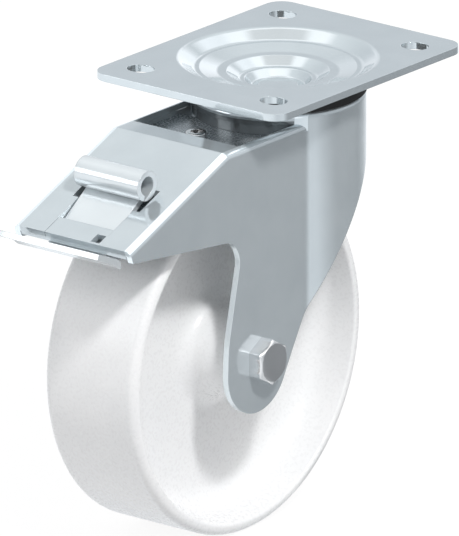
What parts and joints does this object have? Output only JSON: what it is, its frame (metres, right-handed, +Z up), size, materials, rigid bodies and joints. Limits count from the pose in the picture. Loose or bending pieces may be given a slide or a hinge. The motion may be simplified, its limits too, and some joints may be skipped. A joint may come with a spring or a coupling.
{
  "type": "swivel castor",
  "caption": "Plate-mounted swivel castor: pressed fork and hood on a double ball race, one-piece wheel on a roller bearing, and a foot pedal that brakes both wheel and swivel.",
  "frame": {"origin": "on the swivel axis, in the mounting face of the top plate", "axes": "+Z up, out of the mounting face; +X along the axle, towards the bolt's head; +Y the leading side, away from the pedal and the wheel's trail"},
  "size_m": [0.11, 0.2401, 0.2093],
  "materials": {
    "zinc_sheet": "bright zinc-plated pressed steel",
    "zinc_bolt": "zinc-plated turned steel",
    "race_steel": "zinc-plated race steel",
    "ball_steel": "polished bearing steel",
    "bearing_steel": "ground steel",
    "nylon": "moulded white nylon",
    "seal_rubber": "black moulded rubber",
    "cage_plastic": "black moulded nylon",
    "shoe_rubber": "black brake rubber"
  },
  "bodies": {
    "plate": {"top_plate": "zinc_sheet", "kingpin": "zinc_bolt", "kingpin_nut": "zinc_bolt", "lower_race": "race_steel", "lock_ring": "race_steel"},
    "swivel_head": {"fork": "zinc_sheet", "swivel_seal": "seal_rubber", "upper_balls": "ball_steel", "lower_balls": "ball_steel", "axle_bolt": "zinc_bolt", "axle_nut": "zinc_bolt", "axle_tube": "bearing_steel", "thrust_washers": "cage_plastic", "pedal_bracket_right": "zinc_sheet", "pedal_bracket_left": "zinc_sheet", "pedal_pin": "zinc_bolt", "brake_bridge": "zinc_sheet", "rocker_pin": "zinc_bolt", "adjusting_screw": "zinc_bolt"},
    "wheel_set": {"wheel": "nylon", "rollers": "bearing_steel", "roller_cage": "cage_plastic"},
    "brake_pedal": {"pedal": "zinc_sheet"},
    "brake_arm": {"brake_rocker": "zinc_sheet", "brake_shoe": "shoe_rubber"}
  },
  "joints": [
    {"name": "swivel", "type": "hinge", "parent": "plate", "child": "swivel_head", "pos_m": [0, 0, 0], "axis": [0, 0, 1], "continuous": true},
    {"name": "wheel_spin", "type": "hinge", "parent": "swivel_head", "child": "wheel_set", "pos_m": [0, -0.055, -0.1248], "axis": [1, 0, 0], "continuous": true},
    {"name": "pedal_press", "type": "hinge", "parent": "swivel_head", "child": "brake_pedal", "pos_m": [0, -0.1281, -0.0488], "axis": [1, 0, 0], "range_deg": [0, 20]},
    {"name": "brake_rock", "type": "hinge", "parent": "swivel_head", "child": "brake_arm", "pos_m": [0, -0.052, -0.0346], "axis": [1, 0, 0], "range_deg": [0, 2.7]}
  ],
  "couplings": [
    {"joint": "brake_rock", "follows": "pedal_press", "ratio": 0.135}
  ]
}
